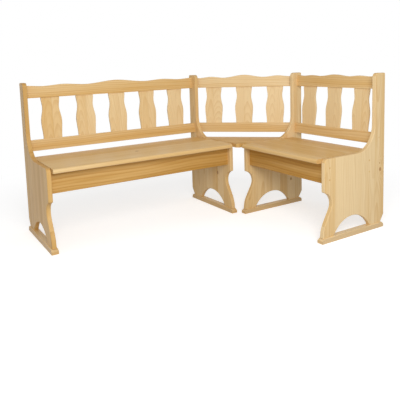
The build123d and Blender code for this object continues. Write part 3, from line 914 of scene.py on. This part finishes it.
class BENCH_OT_hardware(Operator):
    """Zinc for the hinges and all the screws."""

    bl_idname = "corner_bench.hardware"
    bl_label = "Finish Hinges And Screws"

    def execute(self, context):
        for wing, along in (("long", ALONG_X), ("short", ALONG_Y)):
            leaf = zinc(f"Zinc {wing} hinges", along)
            for part in ("box_leaves", "lid_leaves", "pins"):
                dress(f"{wing}_hinge_{part}", leaf)
            fixing = zinc(f"Zinc {wing} hinge screws", UP)
            for part in ("box_screws", "lid_screws"):
                dress(f"{wing}_hinge_{part}", fixing)
        screw = zinc("Zinc screws", UP)
        for node in ("gable_screws", "runner_screws", "corner_seat_screws"):
            dress(node, screw)
        return {"FINISHED"}


class BENCH_OT_stage(Operator):
    """Pale floor, even light, one large soft light and the camera."""

    bl_idname = "corner_bench.stage"
    bl_label = "Set Up Stage"

    def execute(self, context):
        settings = context.scene.bench_stage
        self.make_floor(settings)
        self.make_world(context.scene, settings)
        self.make_key(context.scene, settings)
        self.make_camera(context.scene, settings)
        context.scene.view_settings.view_transform = "Standard"
        return {"FINISHED"}

    @staticmethod
    def seen_directly(tree):
        """1 for rays that the camera sees, directly, mirrored or through glass."""
        path = put(tree, "ShaderNodeLightPath").outputs
        seen = calc(tree, "ADD", path["Is Camera Ray"], path["Is Glossy Ray"])
        rays = (seen, path["Is Transmission Ray"])
        return put(tree, "ShaderNodeMath", rays, operation="ADD", use_clamp=True).outputs[0]

    def make_floor(self, settings):
        half = FLOOR_HALF_SIDE
        corners = [(-half, -half, 0), (half, -half, 0), (half, half, 0), (-half, half, 0)]
        mesh = bpy.data.meshes.new("Floor")
        mesh.from_pydata(corners, [], [(0, 1, 2, 3)])
        floor = bpy.data.objects.new("Floor", mesh)
        bpy.context.scene.collection.objects.link(floor)
        material = bpy.data.materials.new("Floor")
        material.use_nodes = True
        tree = material.node_tree
        tree.nodes.clear()
        seen = self.seen_directly(tree)
        matt = put(tree, "ShaderNodeBsdfDiffuse", {"Color": rgba(settings.floor)})
        added = calc(tree, "MULTIPLY", seen, settings.floor_glow)
        glow = put(tree, "ShaderNodeEmission", {"Strength": added})
        near = put(tree, "ShaderNodeAddShader", (matt.outputs[0], glow.outputs[0]))
        place = put(tree, "ShaderNodeTexCoord").outputs["Object"]
        away = put(tree, "ShaderNodeVectorMath", (place,), operation="LENGTH").outputs["Value"]
        joined = calc(tree, "MULTIPLY", seen, ramp(tree, away, settings.floor_near, settings.floor_far))
        backdrop = put(tree, "ShaderNodeEmission", {"Strength": 1.0})
        floor_shader = put(tree, "ShaderNodeMixShader", (joined, near.outputs[0], backdrop.outputs[0]))
        put(tree, "ShaderNodeOutputMaterial", {"Surface": floor_shader.outputs[0]})
        mesh.materials.append(material)

    def make_world(self, scene, settings):
        world = bpy.data.worlds.new("Studio")
        world.use_nodes = True
        tree = world.node_tree
        tree.nodes.clear()
        level = put(
            tree,
            "ShaderNodeMapRange",
            (self.seen_directly(tree), 0.0, 1.0, settings.sky, 1.0),
        ).outputs[0]
        light = put(tree, "ShaderNodeBackground", {"Color": (1, 1, 1, 1), "Strength": level})
        put(tree, "ShaderNodeOutputWorld", {"Surface": light.outputs[0]})
        scene.world = world

    def make_key(self, scene, settings):
        lamp = bpy.data.lights.new("Key", "AREA")
        lamp.energy = settings.key_power
        lamp.size = settings.key_size
        key = bpy.data.objects.new("Key", lamp)
        scene.collection.objects.link(key)
        place = Vector(settings.key_place)
        key.location = place
        key.rotation_mode = "QUATERNION"
        key.rotation_quaternion = (Vector(settings.key_aim) - place).to_track_quat("-Z", "Y")

    def make_camera(self, scene, settings):
        heading, tilt, roll = settings.camera_heading, settings.camera_tilt, settings.camera_roll
        flat_ahead = Vector((math.cos(heading), math.sin(heading), 0))
        ahead = math.cos(tilt) * flat_ahead + math.sin(tilt) * UP
        level = Vector((math.sin(heading), -math.cos(heading), 0))
        upright = level.cross(ahead)
        right = math.cos(roll) * level + math.sin(roll) * upright
        above = math.cos(roll) * upright - math.sin(roll) * level
        data = bpy.data.cameras.new("Camera")
        data.sensor_fit = "HORIZONTAL"
        data.sensor_width = SENSOR_WIDTH
        data.lens = settings.camera_lens
        data.shift_y = settings.camera_shift
        camera = bpy.data.objects.new("Camera", data)
        scene.collection.objects.link(camera)
        camera.matrix_world = Matrix.Translation(Vector(settings.camera_place)) @ Matrix(
            (
                (right.x, above.x, -ahead.x),
                (right.y, above.y, -ahead.y),
                (right.z, above.z, -ahead.z),
            )
        ).to_4x4()
        scene.camera = camera


OPERATORS = (
    BENCH_OT_gables,
    BENCH_OT_runners,
    BENCH_OT_rails,
    BENCH_OT_slats,
    BENCH_OT_seats,
    BENCH_OT_boxes,
    BENCH_OT_plugs,
    BENCH_OT_hardware,
    BENCH_OT_stage,
)


class BENCH_PT_sidebar(Panel):
    """Finishes and stage of the bench."""

    bl_idname = "BENCH_PT_sidebar"
    bl_label = "Corner Bench"
    bl_space_type = "VIEW_3D"
    bl_region_type = "UI"
    bl_category = "Bench"

    def draw(self, context):
        for settings in (context.scene.bench_pine, context.scene.bench_hardware, context.scene.bench_stage):
            box = self.layout.box()
            for name in settings.__annotations__:
                box.prop(settings, name)
        for operator in OPERATORS:
            self.layout.operator(operator.bl_idname)


CLASSES = (PineSettings, HardwareSettings, StageSettings, *OPERATORS, BENCH_PT_sidebar)


def register():
    for cls in CLASSES:
        bpy.utils.register_class(cls)
    bpy.types.Scene.bench_pine = PointerProperty(type=PineSettings)
    bpy.types.Scene.bench_hardware = PointerProperty(type=HardwareSettings)
    bpy.types.Scene.bench_stage = PointerProperty(type=StageSettings)


def unregister():
    del bpy.types.Scene.bench_stage
    del bpy.types.Scene.bench_hardware
    del bpy.types.Scene.bench_pine
    for cls in reversed(CLASSES):
        bpy.utils.unregister_class(cls)


def main():
    register()
    bpy.ops.corner_bench.gables()
    bpy.ops.corner_bench.runners()
    bpy.ops.corner_bench.rails()
    bpy.ops.corner_bench.slats()
    bpy.ops.corner_bench.seats()
    bpy.ops.corner_bench.boxes()
    bpy.ops.corner_bench.plugs()
    bpy.ops.corner_bench.hardware()
    bpy.ops.corner_bench.stage()


if __name__ == "__main__":
    main()
